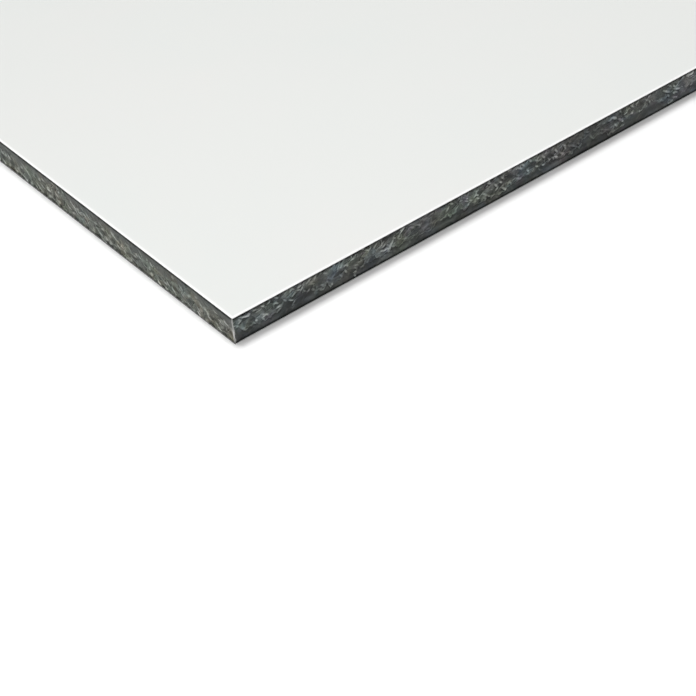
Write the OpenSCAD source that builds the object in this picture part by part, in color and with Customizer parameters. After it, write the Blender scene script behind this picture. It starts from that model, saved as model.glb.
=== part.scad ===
// Multipurpose building board: a flat, solid, dark-cored panel with a white
// facing pressed onto each side, sawn square on all four edges.
// Millimetres. +X runs along the length, +Y along the width, +Z up.
// The origin is the middle of the underside, where the board lies on the floor.

/* [Board] */
// Length of the board, along X
board_length = 1220; // [600:10:2440]
// Width of the board, along Y
board_width = 610; // [300:10:1220]
// Overall thickness, both facings included
board_thickness = 8; // [4:0.5:20]

/* [Facings] */
// Thickness of the white facing on each side
facing_thickness = 0.25; // [0.15:0.05:0.6]
// Arris taken off the outer rim of each facing, measured down its side
rim_ease = 0.1; // [0.05:0.05:0.1]
// How far in from the edge the eased rim starts
rim_ease_width = 0.4; // [0.1:0.1:1]

/* [Edges] */
// Arris taken off the four upright corners
corner_ease = 0.4; // [0.2:0.1:1.5]

/* [Hidden] */
half_l = board_length / 2;
half_w = board_width / 2;
core_thickness = board_thickness - 2 * facing_thickness;
core_colour = [0.22, 0.23, 0.22];
facing_colour = [0.92, 0.93, 0.92];
// How far the trimming prisms run past the board on each side
over = 5;

// The sheet's outline seen from above: a rectangle with its four corners eased.
module outline(c = corner_ease) {
    polygon([
        [-half_l + c, -half_w], [half_l - c, -half_w],
        [half_l, -half_w + c], [half_l, half_w - c],
        [half_l - c, half_w], [-half_l + c, half_w],
        [-half_l, half_w - c], [-half_l, -half_w + c]
    ]);
}

// Section through a facing of half-width h, standing on y = 0, with its two
// upper arrises eased.
module facing_section(h) {
    polygon([
        [-h, 0], [h, 0],
        [h, facing_thickness - rim_ease],
        [h - rim_ease_width, facing_thickness],
        [-h + rim_ease_width, facing_thickness],
        [-h, facing_thickness - rim_ease]
    ]);
}

// One facing lying on z = 0, good side up: the outline, trimmed by the eased
// section along X and again along Y.
module facing() {
    intersection() {
        translate([0, 0, -over]) linear_extrude(height = facing_thickness + 2 * over) outline();
        rotate([90, 0, 90]) translate([0, 0, -half_l - over])
            linear_extrude(height = board_length + 2 * over) facing_section(half_w);
        rotate([90, 0, 0]) translate([0, 0, -half_w - over])
            linear_extrude(height = board_width + 2 * over) facing_section(half_l);
    }
}

// The solid middle of the board, sawn on all four sides.
module core() {
    color(core_colour)
        translate([0, 0, facing_thickness])
            linear_extrude(height = core_thickness) outline();
}

// The white facing on the upper side.
module top_facing() {
    color(facing_colour)
        translate([0, 0, board_thickness - facing_thickness]) facing();
}

// The same facing on the underside, which keeps the board flat.
module bottom_facing() {
    color(facing_colour)
        translate([0, 0, facing_thickness]) mirror([0, 0, 1]) facing();
}

core();
top_facing();
bottom_facing();
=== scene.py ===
"""Looks of the faced building board: sawn, mottled dark core between two white facings, lying on a white floor."""

import math

import bpy
import numpy as np
from mathutils import Matrix, Vector


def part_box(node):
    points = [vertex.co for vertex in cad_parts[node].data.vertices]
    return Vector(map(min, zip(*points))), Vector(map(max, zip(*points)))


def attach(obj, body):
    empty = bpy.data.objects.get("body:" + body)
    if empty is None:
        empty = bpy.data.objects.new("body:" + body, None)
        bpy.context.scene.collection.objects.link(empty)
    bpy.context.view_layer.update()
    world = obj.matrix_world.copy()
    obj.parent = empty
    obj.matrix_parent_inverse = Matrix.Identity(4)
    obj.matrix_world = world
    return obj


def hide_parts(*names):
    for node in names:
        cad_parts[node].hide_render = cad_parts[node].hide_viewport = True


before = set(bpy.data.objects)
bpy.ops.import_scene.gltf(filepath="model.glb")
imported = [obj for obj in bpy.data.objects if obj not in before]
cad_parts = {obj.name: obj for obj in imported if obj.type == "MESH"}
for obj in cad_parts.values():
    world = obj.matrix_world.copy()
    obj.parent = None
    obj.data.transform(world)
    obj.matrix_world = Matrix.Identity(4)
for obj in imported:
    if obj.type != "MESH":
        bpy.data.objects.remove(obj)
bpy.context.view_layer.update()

MM = 0.001
lo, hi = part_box("core")
HL, HW = hi.x, hi.y  # half length and half width, metres
Z0, Z1 = lo.z, hi.z  # underside and top of the core
top_lo, top_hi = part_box("top_facing")
bot_lo, bot_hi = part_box("bottom_facing")
scene = bpy.context.scene


# ---------------------------------------------------------------- camera
# Near corner of the board, seen from the left and front, looking down 39 degrees, with a little roll.
def camera():
    yaw, pitch, roll = 0.62162, 0.686361, -0.092063
    fwd = Vector((math.sin(yaw) * math.cos(pitch), math.cos(yaw) * math.cos(pitch), -math.sin(pitch)))
    right = Vector((math.cos(yaw), -math.sin(yaw), 0.0))
    up = right.cross(fwd)
    x = math.cos(roll) * right + math.sin(roll) * up
    y = -math.sin(roll) * right + math.cos(roll) * up
    cam = bpy.data.cameras.new("camera")
    cam.sensor_fit = "HORIZONTAL"
    cam.sensor_width = 36.0
    cam.lens = 93.378
    cam.clip_start = 0.01
    cam.clip_end = 50.0
    obj = bpy.data.objects.new("camera", cam)
    scene.collection.objects.link(obj)
    m = Matrix((x, y, -fwd)).transposed().to_4x4()
    m.translation = Vector((-HL - 0.170691, -HW - 0.283195, Z1 + 0.258263))
    obj.matrix_world = m
    scene.camera = obj


camera()


# ---------------------------------------------------------------- node helper
class Graph:
    """Builds the same pattern in a shader tree or a geometry tree."""

    def __init__(self, tree):
        self.t = tree

    def new(self, kind, **props):
        n = self.t.nodes.new(kind)
        for k, v in props.items():
            setattr(n, k, v)
        return n

    def put(self, socket, value):
        if isinstance(value, bpy.types.NodeSocket):
            self.t.links.new(value, socket)
        elif value is not None:
            socket.default_value = value

    def math(self, op, a, b=None, c=None, clamp=False):
        n = self.new("ShaderNodeMath", operation=op, use_clamp=clamp)
        for i, v in enumerate((a, b, c)):
            self.put(n.inputs[i], v)
        return n.outputs[0]

    def vec(self, op, a, b=None, scale=None):
        n = self.new("ShaderNodeVectorMath", operation=op)
        self.put(n.inputs[0], a)
        self.put(n.inputs[1], b)
        if scale is not None:
            self.put(n.inputs["Scale"], scale)
        return n.outputs["Value"] if op in ("LENGTH", "DISTANCE", "DOT_PRODUCT") else n.outputs["Vector"]

    def xyz(self, x=0.0, y=0.0, z=0.0):
        n = self.new("ShaderNodeCombineXYZ")
        for i, v in enumerate((x, y, z)):
            self.put(n.inputs[i], v)
        return n.outputs[0]

    def split(self, v):
        n = self.new("ShaderNodeSeparateXYZ")
        self.put(n.inputs[0], v)
        return n.outputs[0], n.outputs[1], n.outputs[2]

    def noise(self, v, scale, detail=2.0, rough=0.5, lac=2.0, distort=0.0, colour=False, kind="FBM", dims="2D"):
        n = self.new("ShaderNodeTexNoise", noise_dimensions=dims, noise_type=kind)
        self.put(n.inputs["Vector"], v)
        n.inputs["Scale"].default_value = scale
        n.inputs["Detail"].default_value = detail
        n.inputs["Roughness"].default_value = rough
        n.inputs["Lacunarity"].default_value = lac
        n.inputs["Distortion"].default_value = distort
        return n.outputs["Color"] if colour else n.outputs[0]

    def step(self, v, a, b, c=0.0, d=1.0):
        """Smooth step of v from a to b, onto c to d."""
        n = self.new("ShaderNodeMapRange", interpolation_type="SMOOTHSTEP", clamp=True)
        for i, x in enumerate((v, a, b, c, d)):
            self.put(n.inputs[i], x)
        return n.outputs[0]

    def line(self, v, a, b, c=0.0, d=1.0, clamp=True):
        n = self.new("ShaderNodeMapRange", interpolation_type="LINEAR", clamp=clamp)
        for i, x in enumerate((v, a, b, c, d)):
            self.put(n.inputs[i], x)
        return n.outputs[0]

    def curve(self, v, points):
        """A factor that follows v through a few points, straight between them."""
        out = points[0][1]
        for (a, fa), (b, fb) in zip(points, points[1:]):
            out = self.math("ADD", out, self.line(v, a, b, 0.0, fb - fa))
        return out

    def mix(self, f, a, b):
        """Linear mix of two numbers."""
        n = self.new("ShaderNodeMix", data_type="FLOAT", clamp_factor=True)
        self.put(n.inputs[0], f)
        self.put(n.inputs[2], a)
        self.put(n.inputs[3], b)
        return n.outputs[0]

    def blend(self, f, a, b, how="MIX"):
        """Mix of two colours."""
        n = self.new("ShaderNodeMix", data_type="RGBA", blend_type=how, clamp_factor=True)
        self.put(n.inputs[0], f)
        for s, v in ((n.inputs[6], a), (n.inputs[7], b)):
            if isinstance(v, tuple):
                s.default_value = (*v, 1.0)
            else:
                self.put(s, v)
        return n.outputs[2]


# ---------------------------------------------------------------- pattern of the sawn edges
def edge_place(g, p):
    """Where a point lies on the sawn edges, in millimetres: along the edge and above the core's foot, the height alone, whether the edge
    is a long one, how far the nearest upright corner is along the edge, and how far it is straight across the arris."""
    x, y, z = g.split(p)
    dx = g.math("SUBTRACT", HL, g.math("ABSOLUTE", x))
    dy = g.math("SUBTRACT", HW, g.math("ABSOLUTE", y))
    long_edge = g.math("LESS_THAN", dy, dx)
    along = g.mix(long_edge, y, x)
    side = g.mix(long_edge, g.math("SIGN", x), g.math("SIGN", y))
    number = g.math("ADD", g.math("MULTIPLY", long_edge, 4.0), side)
    s = g.math("ADD", g.math("MULTIPLY", along, 1000.0), g.math("MULTIPLY", number, 1711.0))
    s = g.math("MULTIPLY", s, g.mix(long_edge, -1.0, 1.0))
    h = g.math("MULTIPLY", g.math("SUBTRACT", z, Z0), 1000.0)
    corner = g.math("MULTIPLY", g.mix(long_edge, dy, dx), 1000.0)
    across = g.math("MULTIPLY", g.vec("LENGTH", g.xyz(dx, dy, 0.0)), 1000.0)
    return g.xyz(s, h, 0.0), h, long_edge, corner, across


def moved(g, at, x, y):
    return g.vec("ADD", at, (x, y, 0.0))


def bent(g, at, scale, by, seed):
    """Coordinates bent by a noise, so that what is drawn on them wanders."""
    n = g.noise(moved(g, at, seed, seed * 0.7), scale, 2.0, 0.5, colour=True)
    return g.vec("ADD", at, g.vec("MULTIPLY", g.vec("SUBTRACT", n, (0.5, 0.5, 0.5)), (by, by, 0.0)))


def torn(g, at, h, long_edge):
    """0 where the saw left the core smooth, 1 where it tore it. The long edges are torn in their upper part, the short
    ones in their lower.
    Where the tearing ends on a long edge, stretches of its lip stand up over a hollow: both are given from 0 to 1. The
    colour paints a highlight on the lip and shade in the hollow."""
    wave = g.math("MULTIPLY", g.line(g.noise(at, 0.09, 2.0, 0.45), 0.25, 0.75, -1.0, 1.0, False), g.mix(long_edge, 0.9, 1.9))
    small = g.noise(moved(g, at, 70.0, 9.0), 0.42, 2.0, 0.55)
    shift = g.math("ADD", wave, g.line(small, 0.25, 0.75, -1.1, 1.1, False))
    hh = g.math("ADD", h, shift)
    some = g.math("MULTIPLY", g.step(g.noise(moved(g, at, 40.0, 12.0), 0.16, 2.0, 0.6), 0.45, 0.58), long_edge)
    lip = g.math("MULTIPLY", g.math("MULTIPLY", g.step(hh, 2.3, 2.65), g.step(hh, 3.35, 2.8)), some)
    under = g.math("MULTIPLY", g.math("MULTIPLY", g.step(hh, 1.4, 2.05), g.step(hh, 2.55, 2.25)), some)
    return g.mix(long_edge, g.step(hh, 6.2, 4.2), g.step(hh, 2.25, 2.9)), lip, under


def strokes(g, at, cell, length, width, density, lean, spread, seed):
    """Short smeared strokes, one in some of the cells: how far a point is inside one, from 0 to 1, with each stroke's own strength.
    They lean by about that angle on the edge, and a neighbour cuts off the end of a long one."""
    v = g.vec("SCALE", moved(g, at, seed * 13.0, seed * 5.0), scale=1.0 / cell)
    n = g.new("ShaderNodeTexVoronoi", voronoi_dimensions="2D", feature="F1")
    g.put(n.inputs["Vector"], v)
    n.inputs["Scale"].default_value = 1.0
    n.inputs["Randomness"].default_value = 1.0
    r, q, w = g.split(n.outputs["Color"])
    local = g.vec("SUBTRACT", v, n.outputs["Position"])
    angle = g.math("ADD", g.math("RADIANS", lean), g.math("MULTIPLY", g.math("SUBTRACT", w, 0.5), 2.0 * math.radians(spread)))
    lx, ly, _ = g.split(local)
    c, s = g.math("COSINE", angle), g.math("SINE", angle)
    u = g.math("ADD", g.math("MULTIPLY", lx, c), g.math("MULTIPLY", ly, s))
    t = g.math("SUBTRACT", g.math("MULTIPLY", ly, c), g.math("MULTIPLY", lx, s))
    d = g.vec("LENGTH", g.xyz(g.math("MULTIPLY", u, 2.0 * cell / length), g.math("MULTIPLY", t, 2.0 * cell / width), 0.0))
    keep = g.step(g.math("ADD", r, density), 1.0, 1.06)
    return g.math("MULTIPLY", g.math("MULTIPLY", g.step(d, 1.0, 0.25), keep), g.line(q, 0.0, 1.0, 0.4, 1.0))


def facets(g, at, size, lean, stretch, seed, width):
    """The core's torn flakes, about that many millimetres across and stretched along a lean: each flake's own tone and tint, from 0 to 1, its
    own tilt as a height, and the folds between flakes, above 0 on the side that catches the light and below 0 on the other."""
    rot = g.new("ShaderNodeVectorRotate", rotation_type="Z_AXIS")
    g.put(rot.inputs["Vector"], moved(g, at, seed * 7.0, seed * 3.0))
    lean = g.math("RADIANS", lean)
    g.put(rot.inputs["Angle"], g.math("MULTIPLY", lean, -1.0))
    v = g.vec("MULTIPLY", rot.outputs[0], (1.0 / (size * stretch), 1.0 / size, 1.0))
    first, second = (g.new("ShaderNodeTexVoronoi", voronoi_dimensions="2D", feature=f) for f in ("F1", "F2"))
    for n in (first, second):
        g.put(n.inputs["Vector"], v)
        n.inputs["Scale"].default_value = 1.0
    r, q, w = g.split(first.outputs["Color"])
    lx, ly, _ = g.split(g.vec("SUBTRACT", v, first.outputs["Position"]))
    tilt = g.math("ADD", g.math("MULTIPLY", lx, g.math("SUBTRACT", q, 0.5)), g.math("MULTIPLY", ly, g.math("SUBTRACT", w, 0.5)))
    # The fold's own direction, turned back onto the edge, against light from the upper left.
    n = g.vec("MULTIPLY", g.vec("SUBTRACT", second.outputs["Position"], first.outputs["Position"]), (1.0 / stretch, 1.0, 0.0))
    n = g.vec("NORMALIZE", n)
    lit = g.math("SUBTRACT", math.radians(135.0), lean)
    facing = g.vec("DOT_PRODUCT", n, g.xyz(g.math("COSINE", lit), g.math("SINE", lit), 0.0))
    gap = g.math("SUBTRACT", second.outputs["Distance"], first.outputs["Distance"])
    fold = g.math("MULTIPLY", g.step(gap, width / size, 0.0), facing)
    return r, q, g.math("MULTIPLY", tilt, 2.0), fold


def relief(g, at, tear, lip, under, long_edge):
    """The torn surface: its height from 0 to 1 without the finest grain, how pale it is from 0 to 1, its strokes, the
    hollows under them (a dip in the height, painted shadow in the colour), its folds' painted highlight and shade, and
    its tint."""
    # What is drawn is flatter on the long edges, and rounder along its lean on the short ones.
    x, y, _ = g.split(at)
    at = g.xyz(
        g.math("ADD", g.math("MULTIPLY", x, g.mix(long_edge, 1.18, 1.0)), g.math("MULTIPLY", y, g.mix(long_edge, 0.36, 0.0))),
        g.math("ADD", g.math("MULTIPLY", x, g.mix(long_edge, 0.36, 0.0)), g.math("MULTIPLY", y, g.mix(long_edge, 1.52, 1.27))),
        0.0,
    )
    narrow = g.vec("MULTIPLY", at, g.xyz(g.mix(long_edge, 1.0, 1.12), 1.0, 1.0))
    w1 = bent(g, narrow, 0.40, 0.7, 3.0)
    w2 = bent(g, narrow, 0.60, 0.12, 41.0)
    tone_a, tint, tilt_a, fold_a = facets(g, w1, 2.0, g.mix(long_edge, 42.0, 20.0), 1.6, 2.0, 0.7)
    tone_b, _, tilt_b, fold_b = facets(g, w2, 1.05, -30.0, 1.6, 11.0, 0.55)
    lumps = g.noise(w1, 0.50, 3.0, 0.6)
    shown = g.step(g.noise(moved(g, at, 17.0, 61.0), 0.45, 1.0, 0.5), 0.42, 0.58, 0.10, 1.0)
    w3 = g.vec("SCALE", w2, scale=g.mix(long_edge, 0.62, 0.84))
    # Along the long edges the strokes lean one way in some stretches and the other way in the rest.
    turn = g.math("MULTIPLY", g.step(g.noise(moved(g, at, 3114.0, 0.0), 0.045, 1.0, 0.5), 0.43, 0.52), long_edge)
    low = g.vec("ADD", w3, g.xyz(g.mix(turn, -0.26, 0.20), 0.42, 0.0))
    a, a_low = (strokes(g, w, 2.2, 2.4, 0.84, 0.55, g.mix(turn, 50.0, -46.0), 16.0, 1.0) for w in (w3, low))
    b, b_low = (strokes(g, w, 2.0, 2.1, 0.74, 0.44, g.mix(turn, -35.0, 30.0), 18.0, 2.0) for w in (w3, low))
    c = strokes(g, w3, 1.6, 1.1, 0.55, 0.16, 20.0, 60.0, 3.0)
    spark, spark_low = (strokes(g, w, 3.2, 1.7, 0.86, g.mix(long_edge, 0.75, 0.50), g.mix(turn, g.mix(long_edge, -30.0, 48.0), -42.0), 32.0, 4.0) for w in (w3, low))
    far, far_low = (strokes(g, w, 4.6, 4.6, 1.0, g.mix(long_edge, 0.45, 0.40), g.mix(turn, g.mix(long_edge, -38.0, 40.0), -36.0), 14.0, 5.0) for w in (w3, low))
    # Some stretches of an edge are torn less than others.
    calmer = g.step(g.noise(moved(g, at, 3408.0, 77.0), 0.06, 1.0, 0.5), 0.60, 0.36)
    # A few stretches are dark and nearly plain.
    plain = g.step(g.noise(moved(g, at, 7077.0, 0.0), 0.03, 0.0, 0.5), 0.62, 0.74)
    mood = g.math("MULTIPLY", g.line(calmer, 0.0, 1.0, 1.0, g.mix(long_edge, 0.55, 0.42)), g.line(plain, 0.0, 1.0, 1.0, 0.42))
    sparks = g.math("MULTIPLY", g.math("MAXIMUM", spark, far), g.math("MULTIPLY", g.line(calmer, 0.0, 1.0, g.mix(long_edge, 1.65, 1.5), g.mix(long_edge, 1.25, 0.85)), g.line(plain, 0.0, 1.0, 1.0, 0.35)))
    lines = g.math("MAXIMUM", g.math("MULTIPLY", mood, g.math("MAXIMUM", a, g.math("MAXIMUM", b, c))), sparks)
    # Painted highlight and shade on the folds between flakes, where the flakes show.
    fold_light_and_shade = g.math("MULTIPLY", g.math("ADD", fold_a, g.math("MULTIPLY", fold_b, 0.4)), shown)
    # Each stroke has a hollow under it: a dip in the height, and painted shadow in the colour.
    hollow = g.math("MAXIMUM", g.math("MULTIPLY", mood, g.math("MAXIMUM", a_low, b_low)), g.math("MAXIMUM", spark_low, far_low))
    hollow = g.math("MULTIPLY", hollow, g.line(lines, 0.0, 0.4, 1.0, 0.0))
    body = g.math("ADD", g.math("MULTIPLY", tilt_a, 0.34), g.math("MULTIPLY", tilt_b, 0.26))
    body = g.math("ADD", body, g.line(lumps, 0.25, 0.75, 0.10, 0.62, False))
    ridges = g.math("ADD", body, g.math("MULTIPLY", lines, 0.36))
    calm = g.math("ADD", g.math("MULTIPLY", g.noise(at, 0.22, 2.0, 0.5), 0.3), 0.25)
    tone = g.math("ADD", g.math("MULTIPLY", tone_a, 0.46), g.math("MULTIPLY", tone_b, 0.15))
    tone = g.math("ADD", tone, g.line(lumps, 0.25, 0.75, 0.02, 0.37, False))
    tone = g.math("ADD", g.math("MULTIPLY", g.math("SUBTRACT", tone, 0.5), g.math("ADD", g.math("MULTIPLY", mood, 0.5), 0.5)), 0.5)
    # The bump goes without the hollows, or a bake of it alone is more than Cycles' shader stack holds.
    bump = g.math("ADD", g.mix(tear, calm, ridges), g.math("SUBTRACT", g.math("MULTIPLY", lip, 0.22), g.math("MULTIPLY", under, 0.10)))
    height = g.math("SUBTRACT", bump, g.math("MULTIPLY", g.math("MULTIPLY", hollow, tear), 0.10))
    return height, bump, tone, lines, hollow, g.math("MULTIPLY", fold_light_and_shade, mood), tint, plain


# ---------------------------------------------------------------- materials
def material(name):
    m = bpy.data.materials.new(name)
    m.use_nodes = True
    nt = m.node_tree
    nt.nodes.clear()
    out = nt.nodes.new("ShaderNodeOutputMaterial")
    p = nt.nodes.new("ShaderNodeBsdfPrincipled")
    nt.links.new(p.outputs[0], out.inputs["Surface"])
    return m, Graph(nt), p


# Height above the core's foot in millimetres, and how light the sawn core is there.
LONG_SHADE = ((0.4, 0.82), (0.7, 1.32), (1.7, 1.32), (2.2, 0.92), (2.8, 0.92), (3.3, 1.24), (3.9, 1.24), (4.4, 1.06), (5.2, 1.06), (5.6, 1.20), (6.3, 1.20), (6.8, 0.74))
RUBBED = ((0.4, 0.34), (1.2, 0.40), (2.0, 0.66), (3.3, 0.66), (4.2, 0.42), (7.5, 0.38))
SHORT_SHADE = ((0.4, 1.52), (0.8, 1.26), (1.6, 1.14), (2.0, 0.92), (2.7, 0.92), (3.2, 1.28), (4.0, 1.28), (4.4, 1.01), (5.1, 1.01), (5.6, 0.93))


def core_material():
    m, g, p = material("sawn_core")
    pos = g.new("ShaderNodeTexCoord").outputs["Object"]
    at, h, long_edge, corner, across = edge_place(g, pos)
    tear, lip, under = torn(g, at, h, long_edge)
    height, ridge, tone, lines, hollow, fold_light_and_shade, tint, plain = relief(g, at, tear, lip, under, long_edge)
    grain = g.noise(at, 3.6, 3.0, 0.6)
    fine = g.noise(moved(g, at, 5.0, 3.0), 9.0, 2.0, 0.6)
    drift = g.noise(g.vec("MULTIPLY", moved(g, at, 90.0, 31.0), (0.45, 3.0, 0.0)), 0.16, 3.0, 0.5)
    # Brightness: a dark base, flakes of other tones where the core is torn, painted highlight and shade on their folds,
    # and pale strokes on them that are partly painted glints.
    off = g.math("SUBTRACT", tone, 0.5)
    # Painted light: the short edges' core is painted lighter than the long edges'. This takes the place of the low fill
    # light's reflection, which that lamp leaves out.
    calm_v = g.math("MULTIPLY", g.mix(long_edge, 0.086, 0.050), g.math("POWER", 2.0, g.math("MULTIPLY", off, g.mix(long_edge, 1.3, 2.3))))
    torn_v = g.math("MULTIPLY", g.mix(long_edge, 0.110, 0.077), g.math("POWER", 2.0, g.math("MULTIPLY", off, g.mix(long_edge, 2.2, 4.0))))
    v = g.mix(tear, calm_v, torn_v)
    swing = g.mix(long_edge, 0.05, 0.36)
    v = g.math("MULTIPLY", v, g.math("ADD", 1.0, g.math("MULTIPLY", g.line(drift, 0.3, 0.7, -1.0, 1.0, False), swing)))
    v = g.math("MULTIPLY", v, g.line(grain, 0.25, 0.75, 0.88, 1.12, False))
    # Painted light on the folds: painted highlight on the side toward the light, painted shade on the other side.
    fold_highlight = g.math("MAXIMUM", fold_light_and_shade, 0.0)
    fold_shade = g.math("MINIMUM", fold_light_and_shade, 0.0)
    v = g.math("MULTIPLY", v, g.math("ADD", 1.0, g.math("MULTIPLY", fold_shade, g.mix(tear, 0.2, 0.85))))
    v = g.math("ADD", v, g.math("MULTIPLY", fold_highlight, g.mix(tear, 0.014, g.mix(long_edge, 0.15, 0.20))))
    # Painted shadow in the hollow under each stroke.
    v = g.math("MULTIPLY", v, g.math("SUBTRACT", 1.0, g.math("MULTIPLY", hollow, g.mix(tear, 0.15, g.mix(long_edge, 0.36, 0.80)))))
    # Pale strokes: partly the torn plastic's own lighter colour, partly painted glints where their ridges catch the
    # light.
    pale = g.math("MULTIPLY", g.math("MULTIPLY", lines, g.mix(tear, 0.10, 1.0)), g.mix(long_edge, 0.285, 0.335))
    v = g.math("ADD", v, pale)
    # Painted highlight along the lip where the tearing ends.
    v = g.math("ADD", v, g.math("MULTIPLY", g.math("MULTIPLY", lip, g.line(fine, 0.3, 0.7, 0.3, 1.7, False)), 0.10))
    # Painted shade in the hollow under the lip.
    v = g.math("MULTIPLY", v, g.math("SUBTRACT", 1.0, g.math("MULTIPLY", under, 0.45)))
    v = g.math("MULTIPLY", v, g.line(plain, 0.0, 1.0, g.mix(long_edge, 1.0, 1.07), g.mix(long_edge, 0.82, 0.70)))
    # How light the core is at each height, band by band up each edge.
    v = g.math("MULTIPLY", v, g.mix(long_edge, g.curve(h, SHORT_SHADE), g.curve(h, LONG_SHADE)))
    # Painted shade: a dark line in the groove under the facing and another at the foot where the core meets the floor,
    # both a little ragged.
    ragged = g.line(g.noise(moved(g, at, 8.0, 44.0), 0.8, 3.0, 0.6), 0.25, 0.75, -0.16, 0.16, False)
    hr = g.math("ADD", h, ragged)
    foot = g.step(hr, g.mix(long_edge, 0.15, 0.35), g.mix(long_edge, 0.50, 0.80))
    head = g.step(hr, g.mix(long_edge, 6.85, 7.2), g.mix(long_edge, 6.25, 6.75))
    v = g.math("MULTIPLY", v, g.line(foot, 0.0, 1.0, g.mix(long_edge, 0.65, 0.40), 1.0))
    v = g.math("MULTIPLY", v, g.line(head, 0.0, 1.0, 0.25, 1.0))
    # Painted shade: small dark notches along the foot of the short edges, drawn in the colour only.
    notch_shade = g.noise(g.vec("MULTIPLY", moved(g, at, 66.0, 4.0), (0.42, 0.25, 1.0)), 1.0, 2.0, 0.5)
    notch_shade = g.math("MULTIPLY", g.step(notch_shade, 0.46, 0.56), g.step(h, 1.0, 0.45, 0.0, g.mix(long_edge, 0.64, 0.0)))
    v = g.math("MULTIPLY", v, g.math("SUBTRACT", 1.0, notch_shade))
    # Tint: a slightly green grey, with flakes and patches of blue, violet and brown.
    t1 = g.math("ADD", g.math("MULTIPLY", g.noise(moved(g, at, 31.0, 7.0), 0.17, 2.0, 0.55), 0.75), g.math("MULTIPLY", tint, 0.25))
    t2 = g.math("ADD", g.math("MULTIPLY", g.noise(moved(g, at, 3.0, 57.0), 0.2, 2.0, 0.55), 0.75), g.math("MULTIPLY", tint, 0.25))
    cool = g.blend(g.step(t1, 0.50, 0.70), (0.94, 1.0, 0.925), (0.87, 1.0, 1.03))
    cool = g.blend(g.step(t2, 0.58, 0.75), cool, (1.03, 0.97, 1.04))
    warm = g.blend(g.step(t1, 0.50, 0.70), (0.93, 1.0, 0.905), (1.04, 1.0, 0.85))
    warm = g.blend(g.step(t2, 0.58, 0.75), warm, (0.86, 1.02, 0.92))
    warm = g.vec("MULTIPLY", warm, g.xyz(1.007, 1.0, g.line(h, 2.0, 6.0, 0.955, 0.995)))
    colour = g.blend(long_edge, warm, cool)
    reds = g.noise(moved(g, at, 1632.0, 83.0), 0.12, 3.0, 0.55)
    blues = g.noise(moved(g, at, 1074.0, 160.0), 0.12, 3.0, 0.55)
    reds = g.math("MULTIPLY", g.line(reds, 0.25, 0.75, -0.13, 0.09, False), g.mix(long_edge, 0.65, 1.0))
    blues = g.math("MULTIPLY", g.line(blues, 0.25, 0.75, -0.155, 0.14, False), g.mix(long_edge, 0.70, 1.0))
    colour = g.vec("MULTIPLY", colour, g.xyz(g.math("ADD", reds, 1.0), 1.0, g.math("ADD", blues, 1.0)))
    # The strokes' pale smears and painted glints are nearly neutral white.
    colour = g.blend(g.line(lines, 0.0, 1.2, 0.0, 0.65), colour, (0.98, 1.0, 0.97))
    colour = g.vec("MULTIPLY", colour, g.xyz(v, v, v))
    brown = g.math("MULTIPLY", g.math("MULTIPLY", g.step(corner, 5.0, 1.0), g.step(hr, 4.0, 1.5)), g.mix(long_edge, 0.8, 0.0))
    colour = g.blend(brown, colour, g.vec("MULTIPLY", colour, (0.98, 0.84, 0.68)))
    # The upright arris is rubbed pale along a narrow line, most of all in its lower half.
    nib = g.noise(moved(g, at, 1.0, 2.0), 1.3, 3.0, 0.65)
    rubbed = g.step(g.math("ADD", across, g.line(nib, 0.3, 0.7, -0.14, 0.14, False)), g.mix(long_edge, 0.95, 0.40), g.mix(long_edge, 0.35, 0.20))
    rubbed = g.math("MULTIPLY", g.math("MULTIPLY", rubbed, 0.9), g.step(h, 0.1, 0.5, 0.3, 1.0))
    bare = g.curve(h, RUBBED)
    colour = g.blend(rubbed, colour, g.xyz(bare, bare, g.math("MULTIPLY", bare, 0.975)))
    g.put(p.inputs["Base Color"], colour)
    rough = g.mix(tear, 0.5, g.line(height, 0.2, 1.0, 0.64, 0.40))
    rough = g.mix(g.math("MULTIPLY", foot, head), 0.9, rough)
    g.put(p.inputs["Roughness"], g.math("ADD", rough, g.line(grain, 0.2, 0.8, -0.05, 0.05)))
    bump = g.new("ShaderNodeBump")
    bump.inputs["Strength"].default_value = 1.0
    bump.inputs["Distance"].default_value = 0.45 * MM
    total = g.math("ADD", ridge, g.math("MULTIPLY", g.math("SUBTRACT", grain, 0.5), g.mix(tear, 0.08, 0.3)))
    total = g.math("ADD", total, g.math("MULTIPLY", g.math("SUBTRACT", fine, 0.5), 0.08))
    g.put(bump.inputs["Height"], total)
    g.put(p.inputs["Normal"], bump.outputs[0])
    p.inputs["Specular IOR Level"].default_value = 0.22
    return m


def hidden_material():
    m, g, p = material("core_under_the_facings")
    p.inputs["Base Color"].default_value = (0.085, 0.088, 0.084, 1.0)
    p.inputs["Roughness"].default_value = 0.6
    return m


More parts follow.
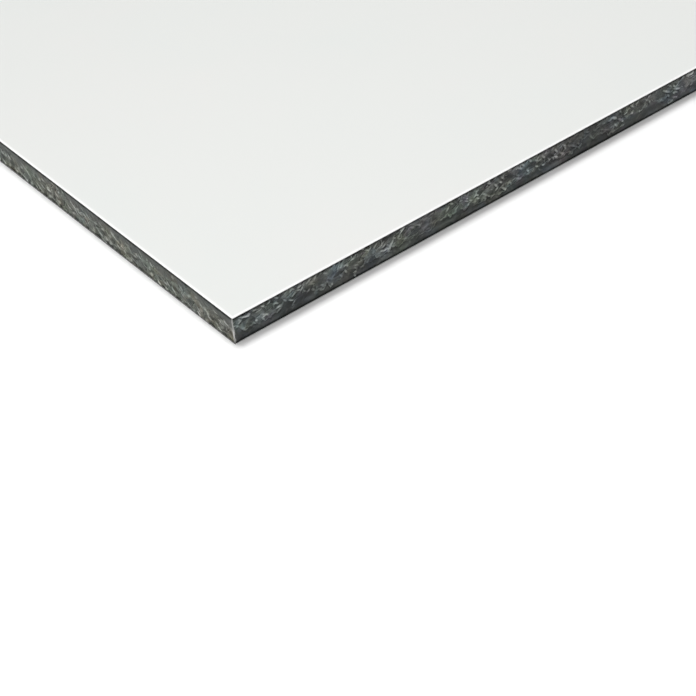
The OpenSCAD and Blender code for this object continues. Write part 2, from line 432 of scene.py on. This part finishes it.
def facing_material():
    m, g, p = material("white_facing")
    pos = g.new("ShaderNodeTexCoord").outputs["Object"]
    x, y, z = g.split(pos)
    dx = g.math("SUBTRACT", HL, g.math("ABSOLUTE", x))
    dy = g.math("SUBTRACT", HW, g.math("ABSOLUTE", y))
    d = g.math("MULTIPLY", g.math("MINIMUM", dx, dy), 1000.0)
    mm = g.vec("SCALE", pos, scale=1000.0)
    cloud = g.noise(mm, 0.012, 3.0, 0.55)
    cloud2 = g.noise(g.vec("ADD", mm, (400.0, 90.0, 0.0)), 0.03, 2.0, 0.5)
    peel = g.noise(mm, 1.7, 2.0, 0.5)
    pores = g.noise(mm, 6.0, 2.0, 0.6)
    white = g.blend(g.line(cloud, 0.3, 0.7), (0.730, 0.730, 0.712), (0.710, 0.731, 0.712))
    white = g.blend(g.line(cloud2, 0.35, 0.75), white, (0.715, 0.727, 0.708))
    # Painted highlight: the facing is painted lighter within about 0.9 mm of its edges, where its rolled rim catches
    # the light.
    rim = g.step(d, 0.90, 0.15)
    white = g.blend(g.math("MULTIPLY", rim, 0.92), white, (0.93, 0.93, 0.925))
    # The facing's own sawn side is grey next to the core, more so on the short edges, and grey all over on the lower
    # facing of the short edges.
    short = g.math("LESS_THAN", dx, dy)
    lower = g.math("LESS_THAN", z, (top_hi.z + bot_lo.z) * 0.5)
    depth = g.math("SUBTRACT", (top_hi.z - bot_lo.z) * 500.0, g.math("MULTIPLY", g.math("ABSOLUTE", g.math("SUBTRACT", z, (top_hi.z + bot_lo.z) * 0.5)), 1000.0))
    grey_side = g.math("MULTIPLY", g.step(depth, g.mix(short, 0.19, 0.10), g.mix(short, 0.22, 0.16)), g.step(d, 0.06, 0.02))
    grey_side = g.math("MAXIMUM", grey_side, g.math("MULTIPLY", lower, g.math("MULTIPLY", short, g.step(d, 0.40, 0.30))))
    side_noise = g.noise(mm, 1.3, 3.0, 0.65)
    side_greys = g.blend(g.step(side_noise, 0.38, 0.62), (0.06, 0.062, 0.06), (0.24, 0.24, 0.235))
    white = g.blend(grey_side, white, g.blend(short, g.blend(lower, (0.40, 0.40, 0.395), (0.27, 0.27, 0.265)), side_greys))
    g.put(p.inputs["Base Color"], white)
    r = g.line(cloud2, 0.3, 0.7, 0.52, 0.58)
    g.put(p.inputs["Roughness"], g.math("ADD", r, g.line(peel, 0.3, 0.7, -0.02, 0.02)))
    bump = g.new("ShaderNodeBump")
    bump.inputs["Strength"].default_value = 0.35
    bump.inputs["Distance"].default_value = 0.012 * MM
    g.put(bump.inputs["Height"], g.math("ADD", peel, g.math("MULTIPLY", pores, 0.25)))
    g.put(p.inputs["Normal"], bump.outputs[0])
    return m


# ---------------------------------------------------------------- meshes
FINE = 0.27 * MM
COARSE = 0.85 * MM


def shares(length, near, fine, coarse, near_first):
    """Where columns stand along a side, as shares of it: closely spaced over near metres at one end, and wider over the rest."""
    n, m = int(round(near / fine)), int(round((length - near) / coarse))
    close = [near * i / n / length for i in range(n)] if n else []
    wide = [(near + (length - near) * i / m) / length for i in range(m)]
    out = (close + wide)[1:]
    return out if near_first else [1.0 - v for v in reversed(out)]


def columns(fine, coarse, near_x=0.185, near_y=0.125):
    """The sides' columns, in order: front, right, back and left. The corner that shows has the closest spacing, along both edges that run from it."""
    return (
        shares(2 * HL, near_x, fine, coarse, True),
        shares(2 * HW, 0.0, fine, coarse, True),
        shares(2 * HL, 0.0, fine, coarse, True),
        shares(2 * HW, near_y, fine, coarse, False),
    )


def outline(inset, radius, sides, arc):
    """Points round the board, counter-clockwise from the near left corner, each with the outward direction there. It has the same number of
    points at every inset."""
    hx, hy = HL - inset, HW - inset
    cx, cy = hx - radius, hy - radius
    corners = ((-cx, -cy, math.pi), (cx, -cy, -math.pi / 2), (cx, cy, 0.0), (-cx, cy, math.pi / 2))
    pts = []
    for k, (x, y, start) in enumerate(corners):
        for i in range(arc + 1):
            t = start + (math.pi / 2) * i / arc
            pts.append((x + radius * math.cos(t), y + radius * math.sin(t), math.cos(t), math.sin(t)))
        x1, y1, start1 = corners[(k + 1) % 4]
        c, n = math.cos(start1), math.sin(start1)
        ax, ay = x + radius * c, y + radius * n
        bx, by = x1 + radius * c, y1 + radius * n
        for f in sides[k]:
            pts.append((ax + (bx - ax) * f, ay + (by - ay) * f, c, n))
    return np.array(pts)


def span(verts, faces, loop, upwards, inset=12 * MM, step=30 * MM):
    """Closes a flat loop of vertices that runs round the board: a band of triangles in to a coarse ring, then a grid of large faces."""
    z = verts[loop[0]][2]
    xs = np.linspace(-HL + inset, HL - inset, int(round(2 * HL / step)) + 1)
    ys = np.linspace(-HW + inset, HW - inset, int(round(2 * HW / step)) + 1)
    base, nx, ny = len(verts), len(xs), len(ys)
    verts.extend((x, y, z) for y in ys for x in xs)
    at = lambda i, j: base + j * nx + i
    for j in range(ny - 1):
        for i in range(nx - 1):
            f = (at(i, j), at(i + 1, j), at(i + 1, j + 1), at(i, j + 1))
            faces.append(f if upwards else f[::-1])
    ring = [at(i, 0) for i in range(nx - 1)] + [at(nx - 1, j) for j in range(ny - 1)]
    ring += [at(i, ny - 1) for i in range(nx - 1, 0, -1)] + [at(0, j) for j in range(ny - 1, 0, -1)]

    def turn(ids):
        """How far round each vertex is, by the side that it is on, so that a corner meets a corner."""
        p = np.array([verts[i][:2] for i in ids])
        mx, my = np.abs(p).max(0)
        u, v = p[:, 0] / mx, p[:, 1] / my
        return np.where((v <= -abs(u)) & (v < 0), (u + 1) / 2, np.where((u >= abs(v)), 1 + (v + 1) / 2, np.where((v >= abs(u)), 2 + (1 - u) / 2, 3 + (1 - v) / 2)))

    to, ti = turn(loop), turn(ring)
    to[: len(to) // 2][to[: len(to) // 2] > 3.5] = 0.0
    ti[: len(ti) // 2][ti[: len(ti) // 2] > 3.5] = 0.0
    to, ti = np.append(np.maximum.accumulate(to), 4.0), np.append(np.maximum.accumulate(ti), 4.0)
    n, m, p, q = len(loop), len(ring), 0, 0
    while p < n or q < m:
        a, b = loop[p % n], ring[q % m]
        if p < n and (q >= m or to[p + 1] <= ti[q + 1]):
            f = (a, loop[(p + 1) % n], b)
            p += 1
        else:
            f = (a, ring[(q + 1) % m], b)
            q += 1
        faces.append(f if upwards else f[::-1])


MAP = 1024.0  # pixels across the images that the finish is baked to


def lay_out(me, places):
    """Gives a mesh the map that its finish is baked through, from each face corner's place in pixels."""
    me.uv_layers.new(name="OFBake").uv.foreach_set("vector", (np.array(places, np.float32) / MAP).ravel())


def strips(widths, fine):
    """Where each step between two columns starts on the map, and how many pixels a metre takes there. The edges are cut into strips that
    lie above one another, with more pixels where the columns are fine."""
    out, x, y, last = [], 2.0, 2.0, None
    for w, f in zip(widths, fine):
        px = (9.7 if f else 5.35) / MM
        if last is not None and (px != last or x + w * px > MAP - 2.0):
            x, y = 2.0, y + (Z1 - Z0) * last + 2.0
        out.append((x, y, px))
        x, last = x + w * px, px
    assert y + (Z1 - Z0) * last < MAP - 28.0, "the edges don't fit their map"
    return out


def core_mesh():
    """The core as one closed skin: fine rows up the four sawn edges, and plain hidden faces under the facings."""
    inset = 0.04 * MM
    loop = outline(inset, 0.42 * MM, columns(FINE, COARSE), 6)
    n = len(loop)
    fine_rows = np.concatenate([[0.0, 0.12, 0.25, 0.40], np.linspace(0.60, 6.85, 22), [7.02, 7.14, 7.26, 7.38, 7.50]]) / 7.5
    coarse_rows = np.concatenate([[0.0, 0.25], np.linspace(0.75, 6.75, 8), [7.10, 7.26, 7.50]]) / 7.5
    near = (loop[:, 0] < -HL + 0.185) & (loop[:, 1] < -HW + 1e-3) | (loop[:, 1] < -HW + 0.125) & (loop[:, 0] < -HL + 1e-3)
    verts, faces, column = [], [], []
    for i in range(n):
        rows = fine_rows if near[i] else coarse_rows
        base = len(verts)
        for r in rows:
            verts.append((loop[i, 0], loop[i, 1], Z0 + (Z1 - Z0) * r))
        column.append((base, len(rows), rows))
    # The strips start where the fine columns do, before the near corner.
    first = int(np.argmax(near & ~np.roll(near, 1)))
    order = [(first + k) % n for k in range(n)]
    width = np.linalg.norm(np.roll(loop[:, :2], -1, 0) - loop[:, :2], axis=1)
    at = dict(zip(order, strips(width[order], (near & np.roll(near, -1))[order])))
    places = []
    for i in range(n):
        j = (i + 1) % n
        (a, na, ra), (b, nb, rb) = column[i], column[j]
        if na == nb:
            for k in range(na - 1):
                faces.append((a + k, b + k, b + k + 1, a + k + 1))
        else:
            p = q = 0
            while p < na - 1 or q < nb - 1:
                up_p = ra[p + 1] if p < na - 1 else 9.0
                up_q = rb[q + 1] if q < nb - 1 else 9.0
                if up_p < up_q:
                    faces.append((a + p, b + q, a + p + 1))
                    p += 1
                else:
                    faces.append((a + p, b + q, b + q + 1))
                    q += 1
        x, y, px = at[i]
        for f in faces[len(places) :]:
            places.append([(x + (0.0 if a <= v < a + na else width[i] * px), y + (verts[v][2] - Z0) * px) for v in f])
    edge_faces = len(faces)
    for top in (False, True):
        span(verts, faces, [c[0] + (c[1] - 1 if top else 0) for c in column], top)
    me = bpy.data.meshes.new("core_skin")
    me.from_pydata(verts, [], faces)
    me.update()
    # The hidden faces lie side by side in a narrow band at the end of the map.
    for f in faces[edge_faces:]:
        x = 4.0 if verts[f[0]][2] < (Z0 + Z1) / 2 else MAP / 2 + 2.0
        places.append([(x + (verts[v][0] / (2 * HL) + 0.5) * (MAP / 2 - 8.0), MAP - 20.0 + (verts[v][1] / (2 * HW) + 0.5) * 16.0) for v in f])
    lay_out(me, [p for f in places for p in f])
    index = np.ones(len(me.polygons), np.int32)
    index[:edge_faces] = 0
    me.polygons.foreach_set("material_index", index)
    return me, edge_faces


def displace(obj):
    """Gives the sawn edges their real relief, inwards from the core's outline, with the same pattern as the material."""
    tree = bpy.data.node_groups.new("sawn_relief", "GeometryNodeTree")
    tree.interface.new_socket("Geometry", in_out="INPUT", socket_type="NodeSocketGeometry")
    tree.interface.new_socket("Geometry", in_out="OUTPUT", socket_type="NodeSocketGeometry")
    g = Graph(tree)
    src, dst = g.new("NodeGroupInput"), g.new("NodeGroupOutput")
    pos = g.new("GeometryNodeInputPosition").outputs[0]
    at, h, long_edge, corner, across = edge_place(g, pos)
    tear, lip, under = torn(g, at, h, long_edge)
    height = relief(g, at, tear, lip, under, long_edge)[0]
    depth = g.math("MULTIPLY", g.math("SUBTRACT", 1.0, height, clamp=True), 0.36 * MM)
    # Nothing is moved in the hidden faces, and little at the corners and at the two outer lines of the core.
    edge = g.math("LESS_THAN", g.math("MULTIPLY", g.math("MINIMUM", *[g.math("SUBTRACT", k, g.math("ABSOLUTE", c)) for k, c in zip((HL, HW), g.split(pos)[:2])]), 1000.0), 1.0)
    fade = g.math("MULTIPLY", g.step(corner, 0.5, 2.2, 0.35, 1.0), g.math("MULTIPLY", g.step(h, 0.0, 0.5, 0.25, 1.0), g.step(h, 7.5, 7.0, 0.45, 1.0)))
    # A shallow groove runs under the upper facing, and a finer one over the lower.
    groove = g.math("ADD", g.step(h, 6.98, 7.2, 0.0, 0.28 * MM), g.step(h, 0.34, 0.16, 0.0, 0.08 * MM))
    depth = g.math("MULTIPLY", g.math("ADD", g.math("MULTIPLY", depth, fade), groove), edge)
    x, y, z = g.split(pos)
    ix = g.math("MULTIPLY", g.math("MULTIPLY", g.math("SIGN", x), -1.0), g.math("SUBTRACT", 1.0, long_edge))
    iy = g.math("MULTIPLY", g.math("MULTIPLY", g.math("SIGN", y), -1.0), long_edge)
    # Round the arris both directions take part, so that the skin doesn't fold.
    near = g.step(corner, 1.2, 0.0)
    ix = g.mix(near, ix, g.math("MULTIPLY", g.math("SIGN", x), -0.7))
    iy = g.mix(near, iy, g.math("MULTIPLY", g.math("SIGN", y), -0.7))
    off = g.vec("SCALE", g.xyz(ix, iy, 0.0), scale=depth)
    move = g.new("GeometryNodeSetPosition")
    g.put(move.inputs["Geometry"], src.outputs[0])
    g.put(move.inputs["Offset"], off)
    g.put(dst.inputs[0], move.outputs[0])
    mod = obj.modifiers.new("relief", "NODES")
    mod.node_group = tree
    bpy.context.view_layer.update()
    dg = bpy.context.evaluated_depsgraph_get()
    me = bpy.data.meshes.new_from_object(obj.evaluated_get(dg))
    obj.modifiers.clear()
    old = obj.data
    obj.data = me
    me.name = "core_skin"
    bpy.data.meshes.remove(old)
    bpy.data.node_groups.remove(tree)


def make(name, me, mats):
    obj = bpy.data.objects.new(name, me)
    scene.collection.objects.link(obj)
    for m in mats:
        me.materials.append(m)
    return obj


def facing_mesh(name, z_in, z_out, r_in, r_up):
    """A facing as one closed skin: flat, with a rim that rolls over where it was trimmed, by r_up over r_in."""
    t = abs(z_out - z_in)
    sign = 1.0 if z_out > z_in else -1.0
    # Section from the inner face, out round the rim, to the outer face: inset and height.
    profile = [(0.06 * MM, 0.0), (0.0, 0.03 * MM)]
    for i in range(7):
        a = (math.pi / 2) * i / 6
        profile.append((r_in * (1 - math.cos(a)), t - r_up + r_up * math.sin(a)))
    profile.append((1.4 * MM, t))
    sides = columns(1.0 * MM, 4.0 * MM)
    verts, faces, rings, frames = [], [], [], []
    for inset, up in profile:
        base = len(verts)
        loop = outline(inset, max(0.45 * MM - inset, 0.12 * MM), sides, 6)
        verts.extend((x, y, z_in + sign * up) for x, y in loop[:, :2])
        rings.append(list(range(base, base + len(loop))))
        frames += [(HL - inset, HW - inset)] * len(loop)
    n = len(rings[0])
    for a, b in zip(rings, rings[1:]):
        for i in range(n):
            j = (i + 1) % n
            f = (a[i], a[j], b[j], b[i])
            faces.append(f if sign > 0 else f[::-1])
    span(verts, faces, rings[-1], sign > 0)
    outer_faces = len(faces)
    frames += [(HL - profile[-1][0], HW - profile[-1][0])] * (len(verts) - len(frames))
    span(verts, faces, rings[0], sign < 0)
    frames += [(HL, HW)] * (len(verts) - len(frames))
    me = bpy.data.meshes.new(name)
    me.from_pydata(verts, [], faces)
    me.update()
    me.polygons.foreach_set("use_smooth", np.ones(len(me.polygons), bool))
    # On the map the rim runs round the outer face as a frame, wider than to scale, and the near corner has more pixels than the rest. The
    # inner face shares a narrow band at the end.
    rim = [0.0]
    for (a, up_a), (b, up_b) in zip(profile, profile[1:]):
        rim.append(rim[-1] + math.hypot(a - b, up_a - up_b))
    rim = [2.0 + 16.0 * (r / rim[-1]) ** 0.6 for r in rim]
    ring_of = np.repeat(np.arange(len(rings)), n)
    hidden = 24.0

    def along(share, near):
        """Place along a side from 0 to 1, with two fifths of it for the near part."""
        return share / near * 0.4 if share < near else 0.4 + (share - near) / (1.0 - near) * 0.6

    def place(v, face):
        hx, hy = frames[v]
        x, y = (verts[v][0] + hx) / (2 * hx), (verts[v][1] + hy) / (2 * hy)
        if face >= outer_faces:
            return 4.0 + x * (MAP - 8.0), MAP - 20.0 + y * 16.0
        r = rim[ring_of[v]] if v < len(ring_of) else rim[-1]
        return r + along(x, 0.15) * (MAP - 2 * r), r + along(y, 0.2) * (MAP - hidden - 2 * r)

    lay_out(me, [place(v, k) for k, f in enumerate(faces) for v in f])
    return me


sawn, plain, white = core_material(), hidden_material(), facing_material()

me, edge_faces = core_mesh()
core = make("core_skin", me, [sawn, plain])
displace(core)
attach(core, "root")
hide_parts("core")

for label, inner, outer, roll, node in (
    ("top_facing_skin", top_lo.z, top_hi.z, (0.34 * MM, 0.12 * MM), "top_facing"),
    ("bottom_facing_skin", bot_hi.z, bot_lo.z, (0.14 * MM, 0.05 * MM), "bottom_facing"),
):
    skin = make(label, facing_mesh(label, inner, outer, *roll), [white])
    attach(skin, "root")
    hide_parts(node)

# ---------------------------------------------------------------- floor, light
fm = bpy.data.meshes.new("floor")
fm.from_pydata([(-40, -40, -0.00002), (40, -40, -0.00002), (40, 40, -0.00002), (-40, 40, -0.00002)], [], [(0, 1, 2, 3)])
mat, g, p = material("floor_white")
p.inputs["Base Color"].default_value = (0.95, 0.95, 0.95, 1.0)
p.inputs["Roughness"].default_value = 0.9
p.inputs["Specular IOR Level"].default_value = 0.0
floor = make("floor", fm, [mat])


def softbox(name, toward, angle, strength):
    """A soft light from that direction, which is the same over the whole board and as large as a softbox is from close by."""
    light = bpy.data.lights.new(name, "SUN")
    light.energy, light.angle = strength, math.radians(angle)
    obj = bpy.data.objects.new(name, light)
    obj.rotation_mode = "QUATERNION"
    obj.rotation_quaternion = (-Vector(toward)).to_track_quat("-Z", "Y")
    scene.collection.objects.link(obj)
    return obj


softbox("overhead", (0.06, 0.525, 2.4), 20.0, 1.93)
# The low fill gives no reflections; the short edges' colour is painted lighter in their place.
softbox("left_fill", (-1.99, 0.105, 0.55), 31.0, 0.716).visible_glossy = False
# A small panel close over the near corner.
panel = bpy.data.lights.new("near_glow", "AREA")
panel.shape = "RECTANGLE"
panel.size = panel.size_y = 0.18
panel.energy = 0.207
glow = bpy.data.objects.new("near_glow", panel)
glow.location = (-HL - 0.02, -HW - 0.015, 0.36)
scene.collection.objects.link(glow)
world = bpy.data.worlds.new("studio")
world.use_nodes = True
g = Graph(world.node_tree)
lit, seen = world.node_tree.nodes["Background"], g.new("ShaderNodeBackground")
lit.inputs["Color"].default_value = seen.inputs["Color"].default_value = (1.0, 1.0, 1.0, 1.0)
lit.inputs["Strength"].default_value = 0.385
seen.inputs["Strength"].default_value = 1.0
both = g.new("ShaderNodeMixShader")
g.put(both.inputs[0], g.new("ShaderNodeLightPath").outputs["Is Camera Ray"])
g.put(both.inputs[1], lit.outputs[0])
g.put(both.inputs[2], seen.outputs[0])
g.put(world.node_tree.nodes["World Output"].inputs["Surface"], both.outputs[0])
scene.world = world
scene.view_settings.view_transform = "Standard"
scene.view_settings.look = "None"
